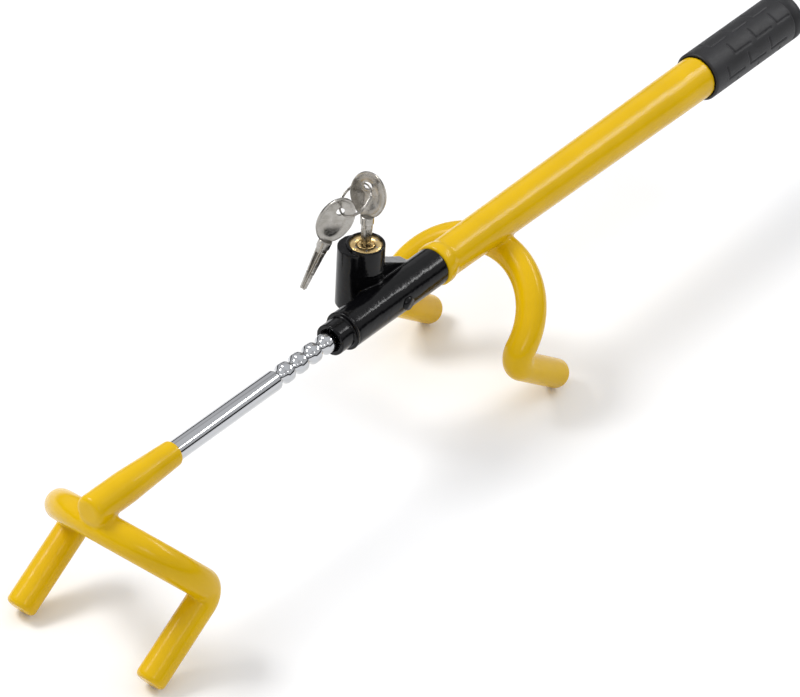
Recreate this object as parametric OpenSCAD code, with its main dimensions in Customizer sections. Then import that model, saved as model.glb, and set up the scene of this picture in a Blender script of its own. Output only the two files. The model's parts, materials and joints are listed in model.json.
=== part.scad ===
// Twin-hook steering wheel lock: a notched rod with a forked hook slides in a coated handle tube
// that carries the rear hook, the key lock and the rubber grip.
// The rod's axis runs along X, the grip is at +X, and the part stands on its four prong tips.

/* [Locking rod] */
// Diameter of the chromed rod
rod_d = 12.4; // [11:0.1:12.4]
// Distance from one ring groove to the next
notch_pitch = 12; // [12]
// Diameter at the bottom of a ring groove
neck_d = 7.8; // [7:0.1:8.6]
// Width of the flat bottom of a ring groove
neck_w = 2.6; // [2.2:0.1:3.2]
// Station of the first groove's centre, from the rod's datum
first_notch_s = 43.8; // [43.8]
// Number of ring grooves
notch_count = 19; // [12:1:19]
// Travel of the rod out of the handle
rod_out = 108; // [60:12:108]
// Travel of the rod into the handle
rod_in = 96; // [60:12:96]

/* [Hooks] */
// Diameter of the steel bar that the hooks are bent from
bar_d = 14; // [12:0.1:14]
// Thickness of the vinyl on the hooks
hook_coat = 2.2; // [1.6:0.1:2.4]
// Centreline radius of the bend between leg and prong
bend_r = 9.4; // [9.3:0.1:9.5]
// Rounding of the vinyl at a prong's end
tip_round = 3; // [2:0.1:3.4]
// Height of the rod's axis above the prong tips
axis_h = 98.9; // [96:0.1:102]
// Front hook: station of the arch's top
front_s = -111; // [-114:1:-108]
// Front hook: half the spread of its prongs
front_r = 47.8; // [45:0.1:48]
// Front hook: lean of the arch from upright
front_lean = 42.4; // [40:0.1:48]
// Front hook: depth of the arch down its own plane
front_drop = 59.1; // [59.1:0.1:62]
// Front hook: slope of its prongs below level
front_slope = 34.8; // [34:0.1:40]
// Rear hook: station of the arch's top
rear_s = 245.4; // [240:0.1:246]
// Rear hook: half the spread of its prongs
rear_r = 48.2; // [46:0.1:48.4]
// Rear hook: lean of the arch from upright
rear_lean = 42.5; // [38:0.1:43]
// Rear hook: depth of the arch down its own plane
rear_drop = 59.4; // [59.4:0.1:63]
// Rear hook: slope of its prongs below level
rear_slope = 35.9; // [30:0.1:36]

/* [Rod sleeve] */
// Diameter of the vinyl sleeve at its open end
sleeve_end_d = 15.6; // [14:0.1:16]
// Diameter of the vinyl sleeve at the weld
sleeve_d = 19.4; // [17:0.1:19.6]
// Station where the sleeve ends on the rod
sleeve_s = -48; // [-50:1:-40]
// Station of the sleeve's front end
front_end_s = -119.5; // [-121:0.5:-119.5]

/* [Handle tube] */
// Outer diameter of the steel tube
tube_d = 22; // [21.6:0.1:22.4]
// Bore of the steel tube
tube_bore = 14.2; // [14.2:0.1:14.4]
// Station where the housing ends and the tube shows
tube_s = 186; // [186]
// Diameter of the vinyl at the lock
coat_lock_d = 23.8; // [23.6:0.1:25]
// Diameter of the vinyl's lip against the housing
lip_d = 26.2; // [25:0.1:26.4]
// Diameter of the vinyl at the grip
coat_grip_d = 27.8; // [27:0.1:29]
// Station where the grip starts
grip_s = 450.5; // [448:0.1:455]
// Station of the grip's far end
grip_end_s = 546; // [542:0.5:550]
// Diameter of the grip
grip_d = 32; // [31:0.1:33]
// Wall thickness of the grip's closed end
grip_floor = 3; // [2:0.5:4]

/* [Lock housing] */
// Diameter of the housing round the rod
housing_d = 23.8; // [22:0.1:24]
// Station of the step behind the nose
collar_s = 101.5; // [100:0.5:104]
// Diameter of the nose
nose_d = 19.6; // [18.4:0.1:20]
// Station of the nose's front face
nose_s = 90; // [90]
// Bore of the nose's mouth
mouth_d = 14.4; // [14.2:0.1:14.6]
// Station of the lock cylinder, the same as a groove's
lock_s = 139.8; // [139.8]
// Distance of the lock cylinder from the rod's axis
lock_y = 15; // [15]
// Diameter of the cup round the lock cylinder
cup_d = 22.8; // [22:0.1:23]
// Height of the cup's rim above the rod's axis
cup_top = 35; // [35]
// Height of the step under the cup
cup_low = 18; // [16:0.5:20]
// Depth of the boss below the rod's axis
boss_low = -8; // [-9:0.5:-7]

/* [Lock cylinder] */
// Diameter of the brass shell
shell_d = 19.8; // [18.8:0.1:20]
// Diameter of the plug
plug_d = 10.4; // [10.4]
// Width across the wings of the keyway
keyway_w = 7.5; // [7.4:0.1:7.6]
// Thickness of a keyway slot
keyway_t = 1.9; // [1.8:0.1:2]
// Throw of the bolt for a quarter turn of the plug
bolt_throw = 3; // [3]

/* [Keys] */
// Turn of the key and its ring about the lock's axis
key_turn = 17.5; // [10:0.5:25]
// Width of a key's bow
bow_w = 22; // [22]
// Height of a key's bow
bow_h = 31.6; // [31.6]
// Thickness of a key's bow
bow_t = 1.5; // [1.5]
// Height of the bow's centre above the brass face
bow_rise = 34.7; // [34.7]
// Width across a key blade's wings
blade_w = 7; // [6.8:0.1:7]
// Thickness of a key blade's wing
blade_t = 1.4; // [1.3:0.1:1.5]
// Diameter of the split ring's wire
wire_d = 1.1; // [1:0.1:1.1]
// Mean radius of the split ring
ring_r = 11; // [11]
// Droop of the split ring below level
ring_droop = 25; // [25]
// Fold of the spare key below the plane of the split ring
spare_fold = 30; // [10:5:35]

/* [Hidden] */
$fn = 64;

yellow = [0.93, 0.76, 0.02];
black = [0.07, 0.07, 0.08];
steel = [0.62, 0.63, 0.66];
chrome = [0.82, 0.84, 0.87];
brass = [0.84, 0.66, 0.28];
nickel = [0.75, 0.74, 0.71];

eps = 0.5;                               // overshoot of a cut past a face
weld = 0.2;                              // depth that the front bar is sunk in the rod
fit_step = 0.05;                         // step in radius where a straight length joins a bend
lap = 0.4;                               // reach of a straight length into a bend
bar_r = bar_d / 2;
coat_r = bar_r + hook_coat;
front_z = -(rod_d / 2 + bar_r - weld);
notch_gap = 0.5;                         // metal left between the tube's bore and the rear bar
rear_z = -(tube_bore / 2 + notch_gap + bar_r);
flank = (rod_d - neck_d) / 2;            // 45 degree flanks of a groove

// Turn of the bend between leg and prong, and the length of bar that it takes from each side
function bend_turn(lean, slope) = 90 - slope + lean;
function bend_take(lean, slope) = bend_r * tan(bend_turn(lean, slope) / 2);
// Lowest point of a rounded prong tip, below the centre of its end face
function tip_low(slope) = (coat_r - tip_round) * cos(slope) + tip_round - tip_round * sin(slope);
// Length of a prong, from the corner of its centrelines to its end face
function prong_length(z, drop, lean, slope) =
    (axis_h + z - drop * cos(lean) - tip_low(slope)) / sin(slope);
front_prong = prong_length(front_z, front_drop, front_lean, front_slope);
rear_prong = prong_length(rear_z, rear_drop, rear_lean, rear_slope);
// Foremost point of the part, on the front prongs' ends
front_min_s = front_s + front_drop * sin(front_lean) - front_prong * cos(front_slope)
    - (coat_r - tip_round) * sin(front_slope) - tip_round + tip_round * cos(front_slope);
x_mid = (front_min_s + grip_end_s) / 2;

spigot_d = 8;                            // turned end of the rod that carries the bush
bush_s = 300.5;                          // front face of the guide bush
bush_len = 12;
circlip_t = 1.2;
rod_end_s = bush_s + bush_len + 3.2;
bush_d = tube_bore - 0.14;               // running fit in the tube
run_fit = 0.07;                          // radial clearance of a running fit
spigot_tube_d = 18;                      // end of the tube inside the housing
socket_s = 168;                          // bottom of the housing's socket for the tube
bush_in_s = 97;                          // nose bush, between the mouth and the lock
bush_out_s = 106;
nose_bush_d = 16;
face_z = cup_top - 0.8;                  // brass face, just below the rim
shell_low = 8;                           // lower end of the brass shell
plug_fit = 0.06;
pin_d = 2;
pin_levels = [21, 25.5, 30];
pin_shear = plug_d / 2;
cam_e = bolt_throw / sqrt(2);            // eccentricity of the cam's drive pin
cam_pin_r = 1.4;
cam_top = 6.4;
bolt_z = 3.6;                            // half the height of the bolt
bolt_w = 7;                              // width of the bolt
bolt_nose_y = 7.2;                       // bolt's nose when it is drawn back
bolt_back_y = 20.4;
bolt_flat = 1.8;                         // flat end of the bolt's nose
channel_gap = 0.05;
key_len = 16;                            // blade below the face, the same on both keys
blade_low = face_z - key_len;            // tip of the inserted key
shoulder_z = face_z + 11.8;
shoulder_d = 7;
shoulder_top = face_z + 19.4;
bow_z = face_z + bow_rise;
hole_y = 0.5;                            // ring hole in the bow, from its centre
hole_z = 6.5;
hole_r = 2.6;
ring_chord = 15.6;                       // from the ring hole to the ring's way past the bow's edge
chord_dip = 33;                          // dip of that line below level
chord_sink = sqrt(ring_r * ring_r - ring_chord * ring_chord / 4);
spare_on_ring = 62;                      // place of the spare key round the ring

module at_axis() {
    translate([-x_mid, 0, axis_h]) children();
}

// Places its children on the lock cylinder's axis, at the height of the rod's axis
module at_lock() {
    at_axis() translate([lock_s, lock_y, 0]) children();
}

// A cylinder along X between two stations
module bar_x(s0, s1, r, r1 = -1) {
    translate([s0, 0, 0]) rotate([0, 90, 0]) cylinder(h = s1 - s0, r1 = r, r2 = (r1 < 0 ? r : r1));
}

// A bar with a rounded rim at its far end
module rounded_bar(r, len, round) {
    cylinder(h = len - round, r = r);
    translate([0, 0, len - round]) rotate_extrude() intersection() {
        union() {
            square([r - round, round]);
            translate([r - round, 0]) circle(round);
        }
        square([r, round]);
    }
}

// One side of a hook: leg, bend and prong, below the end of the arch. The straight lengths are drawn
// down by fit_step and reach a little way into the bends.
module hook_side(r, half, drop, lean, slope, prong, round) {
    turn = bend_turn(lean, slope);
    take = bend_take(lean, slope);
    leg_z = -(drop - take);
    straight_r = r - fit_step;
    translate([0, half, leg_z - lap]) cylinder(h = -half - leg_z + 2 * lap, r = straight_r);
    translate([bend_r, half, leg_z]) rotate([90, 0, 0]) rotate([0, 0, 180])
        rotate_extrude(angle = turn) translate([bend_r, 0]) circle(r);
    translate([bend_r * (1 - cos(turn)), half, leg_z - bend_r * sin(turn)]) rotate([0, 180 - turn, 0])
        translate([0, 0, -lap])
        if (round > 0) rounded_bar(straight_r, prong - take + lap, round);
        else cylinder(h = prong - take + lap, r = straight_r);
}

// A whole hook, its arch's top at the origin and its prongs towards +X
module hook_shape(r, half, drop, lean, slope, prong, round = 0) {
    rotate([0, lean, 0]) {
        translate([0, 0, -half]) rotate([90, 0, 90])
            rotate_extrude(angle = 180) translate([half, 0]) circle(r);
        hook_side(r, half, drop, lean, slope, prong, round);
        mirror([0, 1, 0]) hook_side(r, half, drop, lean, slope, prong, round);
    }
}

module front_shape(r, cut = 0, round = 0) {
    translate([front_s, 0, front_z]) mirror([1, 0, 0])
        hook_shape(r, front_r, front_drop, front_lean, front_slope, front_prong - cut, round);
}

module rear_shape(r, cut = 0, round = 0) {
    translate([rear_s, 0, rear_z])
        hook_shape(r, rear_r, rear_drop, rear_lean, rear_slope, rear_prong - cut, round);
}

// ---- rod, its sleeve and the front hook ----

// Outline of the rod's notched stretch: 45 degree flanks down to each flat neck
function notch_outline() = [for (i = [0 : notch_count - 1])
    let (s = first_notch_s + i * notch_pitch)
    each [[rod_d / 2, s - neck_w / 2 - flank], [neck_d / 2, s - neck_w / 2],
          [neck_d / 2, s + neck_w / 2], [rod_d / 2, s + neck_w / 2 + flank]]];

module locking_rod() {
    nose = front_end_s + 2;
    clip_s = bush_s + bush_len;
    color(chrome) at_axis() rotate([0, 90, 0]) rotate_extrude() polygon(concat(
        [[0, nose], [rod_d / 2 - 1.5, nose], [rod_d / 2, nose + 1.5]],
        notch_outline(),
        [[rod_d / 2, bush_s], [spigot_d / 2, bush_s], [spigot_d / 2, clip_s],
         [spigot_d / 2 - 0.8, clip_s], [spigot_d / 2 - 0.8, clip_s + circlip_t],
         [spigot_d / 2, clip_s + circlip_t], [spigot_d / 2, rod_end_s - 1],
         [spigot_d / 2 - 1, rod_end_s], [0, rod_end_s]]));
}

module sleeve_solid() {
    weld_end = front_s + 22;
    rotate([0, 90, 0]) rotate_extrude() union() {
        polygon([[0, front_end_s], [sleeve_d / 2 - 3, front_end_s], [sleeve_d / 2 - 0.9, front_end_s + 0.9],
                 [sleeve_d / 2, front_end_s + 3], [sleeve_d / 2, weld_end],
                 [sleeve_end_d / 2, sleeve_s - 1], [sleeve_end_d / 2 - 0.6, sleeve_s], [0, sleeve_s]]);
    }
}

module rod_sleeve() {
    color(yellow) at_axis() difference() {
        sleeve_solid();
        rotate([0, 90, 0]) rotate_extrude() polygon([[0, front_end_s + 2],
            [rod_d / 2 - 1.5, front_end_s + 2], [rod_d / 2, front_end_s + 3.5],
            [rod_d / 2, sleeve_s + eps], [0, sleeve_s + eps]]);
        front_shape(bar_r, hook_coat);
    }
}

module front_hook() {
    color(steel) at_axis() front_shape(bar_r, hook_coat);
}

module front_hook_coating() {
    color(yellow) at_axis() difference() {
        front_shape(coat_r, 0, tip_round);
        front_shape(bar_r, hook_coat);
        bar_x(front_s - 8.5, front_s + 24, sleeve_d / 2);
    }
}

module rod_circlip() {
    clip_s = bush_s + bush_len;
    color(steel) at_axis() difference() {
        bar_x(clip_s + 0.1, clip_s + circlip_t - 0.1, 6);
        bar_x(clip_s - eps, clip_s + circlip_t + eps, spigot_d / 2 - 0.8);
        translate([clip_s - eps, -1.5, 0]) cube([circlip_t + 2 * eps, 3, 8]);
    }
}

module guide_bush() {
    color(brass) at_axis() difference() {
        bar_x(bush_s + 0.1, bush_s + bush_len - 0.1, bush_d / 2);
        bar_x(bush_s - eps, bush_s + bush_len + eps, spigot_d / 2 + run_fit);
    }
}

// ---- handle tube, coatings, rear hook and grip ----

module main_tube() {
    color(steel) at_axis() difference() {
        union() {
            bar_x(socket_s, tube_s, spigot_tube_d / 2);
            bar_x(tube_s, grip_end_s - 12, tube_d / 2);
        }
        bar_x(socket_s - eps, grip_end_s, tube_bore / 2);
        rear_shape(bar_r, hook_coat);
        roll_pin_hole();
    }
}

// Outer surface of the tube's vinyl, with the thick lip where it meets the housing
function vinyl_outline() = [[lip_d / 2 - 0.8, tube_s], [lip_d / 2, tube_s + 1], [lip_d / 2, tube_s + 6],
    [coat_lock_d / 2, tube_s + 10], [coat_grip_d / 2, grip_s - 2], [coat_grip_d / 2, grip_s]];

module tube_coating() {
    color(yellow) at_axis() difference() {
        rotate([0, 90, 0]) rotate_extrude()
            polygon(concat([[tube_d / 2, tube_s]], vinyl_outline(), [[tube_d / 2, grip_s]]));
        rear_shape(bar_r, hook_coat);
    }
}

module rear_hook() {
    color(steel) at_axis() rear_shape(bar_r, hook_coat);
}

module rear_hook_coating() {
    color(yellow) at_axis() difference() {
        rear_shape(coat_r, 0, tip_round);
        rear_shape(bar_r, hook_coat);
        rotate([0, 90, 0]) rotate_extrude() polygon(concat([[0, tube_s]], vinyl_outline(), [[0, grip_s]]));
    }
}

module grip() {
    edge = 2;
    color(black) at_axis() difference() {
        rotate([0, 90, 0]) rotate_extrude() polygon([[0, grip_s], [grip_d / 2 - 1, grip_s],
            [grip_d / 2, grip_s + 1], [grip_d / 2, grip_end_s - 12], [grip_d / 2 - 0.8, grip_end_s - 11],
            [grip_d / 2 - 0.8, grip_end_s - 9.6], [grip_d / 2, grip_end_s - 8.6],
            [grip_d / 2, grip_end_s - 3.6], [grip_d / 2 - 1.2, grip_end_s - edge + 0.4],
            [grip_d / 2 - 4, grip_end_s - 0.5], [grip_d / 2 - 7, grip_end_s], [0, grip_end_s]]);
        bar_x(grip_s - eps, grip_end_s - grip_floor, tube_d / 2);
    }
}

module grip_end_plug() {
    far = grip_end_s - 12;
    color(black) at_axis() union() {
        bar_x(far - 12, far, tube_bore / 2);
        bar_x(far, far + 2, tube_d / 2 - 1);
    }
}

// ---- lock housing and what is fixed in it ----

roll_pin_s = 177;
module roll_pin_hole() {
    translate([roll_pin_s, 0, -14]) cylinder(h = 8, r = 1.5);
}

lobe_x = -3.4;                           // lobe that runs down the cup's outer side
lobe_y = 4.5;
lobe_r = 11;
lobe_top = cup_top - 2.4;
lower_boss_r = cup_d / 2 - 0.5;
plug_s = 148;                            // station of the round plug in the housing's side
plug_r = 3.9;
plug_floor = tube_bore / 2 + 0.5;
grub_z = 14;

// Gusset from the boss down to the barrel of the housing
module web_plate() {
    translate([lock_s, 16, 0]) rotate([90, 0, 0]) linear_extrude(10)
        polygon([[0, 0], [34, 0], [37, 3], [34, 6.5], [9, 20], [0, 20.5]]);
}

module bolt_channel(gap, y0, y1) {
    translate([lock_s - bolt_w / 2 - gap, y0, -bolt_z - gap])
        cube([bolt_w + 2 * gap, y1 - y0, 2 * (bolt_z + gap)]);
}

module lock_housing() {
    color(black) at_axis() difference() {
        union() {
            bar_x(nose_s, collar_s, nose_d / 2);
            bar_x(collar_s, collar_s + 3, housing_d / 2 - 0.9, housing_d / 2);
            bar_x(collar_s + 3, tube_s, housing_d / 2);
            web_plate();
            translate([lock_s, lock_y, boss_low]) cylinder(h = cup_low - boss_low, r = lower_boss_r);
            translate([lock_s + lobe_x, lock_y + lobe_y, boss_low]) cylinder(h = lobe_top - boss_low, r = lobe_r);
            translate([lock_s, lock_y, cup_low]) cylinder(h = cup_top - cup_low, r = cup_d / 2);
        }
        bar_x(nose_s - eps, bush_in_s, mouth_d / 2);
        bar_x(bush_in_s - eps, bush_out_s, nose_bush_d / 2);
        bar_x(bush_out_s - eps, socket_s + eps, tube_bore / 2);
        bar_x(socket_s, tube_s + eps, spigot_tube_d / 2);
        translate([lock_s, lock_y, shell_low]) cylinder(h = cup_top, r = shell_d / 2);
        translate([lock_s, lock_y, 0]) cylinder(h = shell_low + eps, r = 6.6);
        bolt_channel(channel_gap, 0, lock_y + cup_d);
        translate([plug_s, -housing_d, 0]) rotate([-90, 0, 0]) cylinder(h = housing_d - plug_floor, r = plug_r);
        translate([lock_s, 32, grub_z]) rotate([90, 0, 0]) cylinder(h = 10, r = 1.5);
        roll_pin_hole();
    }
}

module nose_bush() {
    color(steel) at_axis() difference() {
        bar_x(bush_in_s, bush_out_s, nose_bush_d / 2);
        bar_x(bush_in_s - eps, bush_out_s + eps, rod_d / 2 + run_fit);
    }
}

module side_plug() {
    color(black) at_axis() translate([plug_s, -housing_d / 2 - 1, 0]) rotate([-90, 0, 0])
        cylinder(h = housing_d / 2 + 1 - plug_floor, r = plug_r);
}

module housing_roll_pin() {
    color(steel) at_axis() translate([roll_pin_s, 0, -tube_bore / 2 - 3.9]) cylinder(h = 3.6, r = 1.5);
}

module cylinder_grub_screw() {
    color(steel) at_axis() difference() {
        translate([lock_s, lock_y + cup_d / 2 - 0.8, grub_z]) rotate([90, 0, 0]) cylinder(h = 2.6, r = 1.5);
        translate([lock_s, lock_y + cup_d / 2, grub_z]) rotate([90, 0, 0]) cylinder(h = 1.6, r = 0.8, $fn = 6);
    }
}

module bolt_channel_plug() {
    y0 = bolt_back_y + 0.6;
    color(black) at_axis() difference() {
        bolt_channel(channel_gap, y0, lock_y + lobe_y + lobe_r - 2.6);
        translate([lock_s - bolt_w, y0 - eps, -bolt_z - 1]) cube([bolt_w * 2, 0.5, 0.5]);
    }
}

module cylinder_shell() {
    color(brass) at_lock() difference() {
        translate([0, 0, shell_low]) cylinder(h = face_z - shell_low, r = shell_d / 2);
        translate([0, 0, shell_low - eps]) cylinder(h = face_z, r = plug_d / 2 + plug_fit);
        shell_chambers(pin_d / 2, shell_d / 2 - 0.6);
        translate([0, lock_y, grub_z]) rotate([90, 0, 0]) cylinder(h = lock_y - (cup_d / 2 - 3.4), r = 1.5);
    }
}

// Radial chambers on both axes of the cross, at each pin level
module shell_chambers(r, far) {
    for (z = pin_levels, a = [0 : 90 : 270])
        rotate([0, 0, key_turn + a]) translate([pin_shear - 0.4, 0, z]) rotate([0, 90, 0])
            cylinder(h = far - pin_shear + 0.4, r = r, $fn = 24);
}

module driver_pins() {
    start = pin_shear + 0.25;
    color(steel) at_lock() for (z = pin_levels, a = [0 : 90 : 270])
        rotate([0, 0, key_turn + a]) translate([start, 0, z]) rotate([0, 90, 0])
            cylinder(h = 1.4, r = pin_d / 2 - 0.05, $fn = 24);
}

module driver_springs() {
    start = pin_shear + 1.75;
    color(steel) at_lock() for (z = pin_levels, a = [0 : 90 : 270])
        rotate([0, 0, key_turn + a]) translate([start, 0, z]) rotate([0, 90, 0]) difference() {
            cylinder(h = shell_d / 2 - 0.7 - start, r = pin_d / 2 - 0.15, $fn = 24);
            translate([0, 0, -eps]) cylinder(h = 6, r = pin_d / 2 - 0.5, $fn = 24);
        }
}

// ---- plug, cam and bolt ----

module cross_slot(w, t, z0, z1) {
    for (a = [0, 90])
        rotate([0, 0, key_turn + a]) translate([-w / 2, -t / 2, z0]) cube([w, t, z1 - z0]);
}

module cylinder_plug() {
    tail_r = 3;
    color(brass) at_lock() difference() {
        union() {
            translate([0, 0, shell_low]) cylinder(h = face_z - 0.4 - shell_low, r = plug_d / 2);
            translate([0, 0, cam_top]) cylinder(h = shell_low - cam_top, r = tail_r);
        }
        cross_slot(keyway_w, keyway_t, blade_low - 1, face_z + 1);
        for (z = pin_levels, a = [0 : 90 : 270])
            rotate([0, 0, key_turn + a]) translate([keyway_w / 2 - 0.4, 0, z]) rotate([0, 90, 0])
                cylinder(h = 2.4, r = pin_d / 2, $fn = 24);
    }
}

module key_pins() {
    start = blade_w / 2 + 0.3;
    color(steel) at_lock() for (z = pin_levels, a = [0 : 90 : 270])
        rotate([0, 0, key_turn + a]) translate([start, 0, z]) rotate([0, 90, 0])
            cylinder(h = pin_shear - start - 0.06, r = pin_d / 2 - 0.05, $fn = 24);
}

module plug_clip() {
    color(steel) at_lock() translate([0, 0, cam_top + 0.3]) difference() {
        cylinder(h = 1, r = 5.8);
        translate([0, 0, -eps]) cylinder(h = 2, r = 3);
        translate([0, -1, -eps]) cube([8, 2, 2]);
    }
}

module plug_cam() {
    color(steel) at_lock() difference() {
        union() {
            translate([0, 0, bolt_z + 0.4]) cylinder(h = cam_top - bolt_z - 0.4, r = 5);
            rotate([0, 0, 45]) translate([cam_e, 0, 0.6]) cylinder(h = bolt_z, r = cam_pin_r);
        }
        translate([0, 0, bolt_z]) cylinder(h = 6, r = 1.1);
    }
}

module cam_screw() {
    color(steel) at_lock() union() {
        translate([0, 0, bolt_z + 0.4]) cylinder(h = cam_top - bolt_z - 0.4, r = 1.1);
    }
}

module lock_bolt() {
    slot_gap = 0.12;
    taper = (bolt_w - bolt_flat) / 2;
    color(steel) at_axis() difference() {
        translate([lock_s, 0, -bolt_z]) linear_extrude(2 * bolt_z) polygon([
            [-bolt_flat / 2, bolt_nose_y], [bolt_flat / 2, bolt_nose_y],
            [bolt_w / 2 - channel_gap, bolt_nose_y + taper], [bolt_w / 2 - channel_gap, bolt_back_y],
            [-bolt_w / 2 + channel_gap, bolt_back_y], [-bolt_w / 2 + channel_gap, bolt_nose_y + taper]]);
        // Cross slot for the cam's drive pin
        translate([lock_s - bolt_w, lock_y + bolt_throw / 2 - cam_pin_r - slot_gap, 0.2])
            cube([2 * bolt_w, 2 * (cam_pin_r + slot_gap), bolt_z + 1]);
    }
}

// ---- keys and ring ----

// A cruciform blade with its shoulder, tip down, the brass face at z = 0
module key_blade_shape() {
    union() {
        for (a = [0, 90])
            rotate([0, 0, a]) rotate([90, 0, 0]) translate([0, 0, -blade_t / 2]) linear_extrude(blade_t)
                polygon([[-blade_w / 2, shoulder_z - face_z], [-blade_w / 2, 2.5 - key_len],
                         [-1.4, -key_len], [1.4, -key_len],
                         [blade_w / 2, 2.5 - key_len], [blade_w / 2, shoulder_z - face_z]]);
        translate([0, 0, shoulder_z - face_z]) cylinder(h = shoulder_top - shoulder_z, r = shoulder_d / 2);
    }
}

// A flat oval bow in the YZ plane, centred on the origin, slotted into the shoulder below it
module key_bow_shape() {
    rotate([90, 0, 90]) translate([0, 0, -bow_t / 2]) linear_extrude(bow_t) difference() {
        polygon([for (a = [0 : 7.5 : 352.5]) [bow_w / 2 * sin(a), bow_h / 2 * cos(a)]]);
        translate([hole_y, hole_z]) circle(hole_r);
        translate([-bow_w / 2 + 0.6, -11.4]) square([3, 1.6]);
    }
}

bow_low_z = shoulder_top - bow_z;
module key_slot() {
    translate([-bow_t / 2, -shoulder_d, bow_low_z - 3]) cube([bow_t, 2 * shoulder_d, 6]);
}

module key_blade() {
    color(nickel) at_lock() rotate([0, 0, key_turn]) difference() {
        translate([0, 0, face_z]) key_blade_shape();
        translate([0, 0, bow_z]) key_slot();
    }
}

module key_bow() {
    color(nickel) at_lock() rotate([0, 0, key_turn]) translate([0, 0, bow_z]) key_bow_cut();
}

// The bow, ending at the bottom of the shoulder's slot
module key_bow_cut() {
    intersection() {
        key_bow_shape();
        translate([-bow_w, -bow_w, bow_low_z - 3]) cube([2 * bow_w, 2 * bow_w, 2 * bow_h]);
    }
}

// Places its children at the middle of the ring's way through and past the bow, droop about Y
module at_ring() {
    at_lock() rotate([0, 0, key_turn]) translate([0, hole_y, bow_z + hole_z]) rotate([-chord_dip, 0, 0])
        translate([0, ring_chord / 2, 0]) rotate([0, -ring_droop, 0]) translate([-chord_sink, 0, 0])
            children();
}

module key_ring() {
    color(nickel) at_ring() rotate_extrude() translate([ring_r, 0]) circle(wire_d / 2, $fn = 24);
}

// Places its children in the spare key's frame: its ring hole at the origin, +Z along the key
module at_spare() {
    at_ring() rotate([0, 0, -spare_on_ring]) translate([-ring_r, 0, 0])
        rotate([0, -90 - spare_fold, 0]) children();
}

module spare_key_bow() {
    color(nickel) at_spare() rotate([0, 0, 90]) translate([0, -hole_y, -hole_z]) key_bow_cut_flip();
}

module key_bow_cut_flip() {
    translate([0, 0, 2 * hole_z]) mirror([0, 0, 1]) key_bow_cut();
}

module spare_key_blade() {
    color(nickel) at_spare() rotate([0, 0, 90]) translate([0, -hole_y, hole_z]) mirror([0, 0, 1]) difference() {
        translate([0, 0, face_z - bow_z]) key_blade_shape();
        key_slot();
    }
}

locking_rod();
rod_sleeve();
front_hook();
front_hook_coating();
rod_circlip();
guide_bush();
main_tube();
tube_coating();
rear_hook();
rear_hook_coating();
grip();
grip_end_plug();
lock_housing();
nose_bush();
side_plug();
housing_roll_pin();
cylinder_grub_screw();
bolt_channel_plug();
cylinder_shell();
driver_pins();
driver_springs();
cylinder_plug();
key_pins();
plug_clip();
plug_cam();
cam_screw();
lock_bolt();
key_blade();
key_bow();
key_ring();
spare_key_blade();
spare_key_bow();
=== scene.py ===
"""A twin-hook steering wheel lock: its finished surfaces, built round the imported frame."""
import json
import math

import bpy
from mathutils import Matrix, Vector


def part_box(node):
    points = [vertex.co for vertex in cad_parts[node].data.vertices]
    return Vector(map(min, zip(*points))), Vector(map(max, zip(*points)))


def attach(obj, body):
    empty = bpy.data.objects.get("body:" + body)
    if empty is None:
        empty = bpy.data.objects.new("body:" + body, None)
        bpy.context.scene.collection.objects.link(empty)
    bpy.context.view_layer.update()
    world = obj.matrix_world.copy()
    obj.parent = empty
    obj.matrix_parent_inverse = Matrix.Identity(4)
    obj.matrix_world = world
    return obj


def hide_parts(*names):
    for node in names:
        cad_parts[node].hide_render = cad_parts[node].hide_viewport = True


MM = 0.001

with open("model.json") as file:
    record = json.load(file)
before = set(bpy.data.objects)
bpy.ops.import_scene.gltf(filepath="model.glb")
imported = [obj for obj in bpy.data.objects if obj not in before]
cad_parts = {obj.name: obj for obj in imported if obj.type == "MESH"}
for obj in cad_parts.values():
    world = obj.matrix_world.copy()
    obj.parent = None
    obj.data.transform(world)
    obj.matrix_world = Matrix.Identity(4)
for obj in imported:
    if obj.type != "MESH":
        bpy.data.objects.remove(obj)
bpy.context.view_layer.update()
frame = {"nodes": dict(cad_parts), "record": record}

# ---------------------------------------------------------------- places, from the frame

ROD_LOW, ROD_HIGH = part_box("locking_rod")
AXIS_Z = (ROD_LOW.z + ROD_HIGH.z) / 2
ROD_R = (ROD_HIGH.z - ROD_LOW.z) / 2
SLEEVE_LOW, SLEEVE_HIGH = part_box("rod_sleeve")
HOUSING_LOW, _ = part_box("lock_housing")
COAT_LOW, COAT_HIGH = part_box("tube_coating")
TUBE_LOW, TUBE_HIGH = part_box("main_tube")
TUBE_R = (TUBE_HIGH.z - TUBE_LOW.z) / 2
GRIP_LOW, GRIP_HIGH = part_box("grip")
GRIP_R = (GRIP_HIGH.z - GRIP_LOW.z) / 2
SHELL_LOW, SHELL_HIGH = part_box("cylinder_shell")
LOCK_X = (SHELL_LOW.x + SHELL_HIGH.x) / 2
LOCK_Y = (SHELL_LOW.y + SHELL_HIGH.y) / 2
FACE_Z = SHELL_HIGH.z
FRONT_LOW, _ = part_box("front_hook_coating")
REAR_LOW, REAR_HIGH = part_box("rear_hook_coating")

# ---------------------------------------------------------------- modelling helpers


def none_selected():
    bpy.ops.object.select_all(action="DESELECT")


def only(*objects):
    """Selects just these objects and makes the first one active."""
    none_selected()
    for piece in objects:
        piece.select_set(True)
    bpy.context.view_layer.objects.active = objects[0]


def settle(piece):
    """Puts a piece's place into its mesh, so that its object sits at the origin."""
    only(piece)
    bpy.ops.object.transform_apply(location=True, rotation=True, scale=True)
    return piece


def finish_with(piece, kind, **settings):
    """Adds a modifier and applies it."""
    only(piece)
    modifier = piece.modifiers.new(kind.lower(), kind)
    for key, value in settings.items():
        setattr(modifier, key, value)
    bpy.ops.object.modifier_apply(modifier=modifier.name)
    return piece


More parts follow.
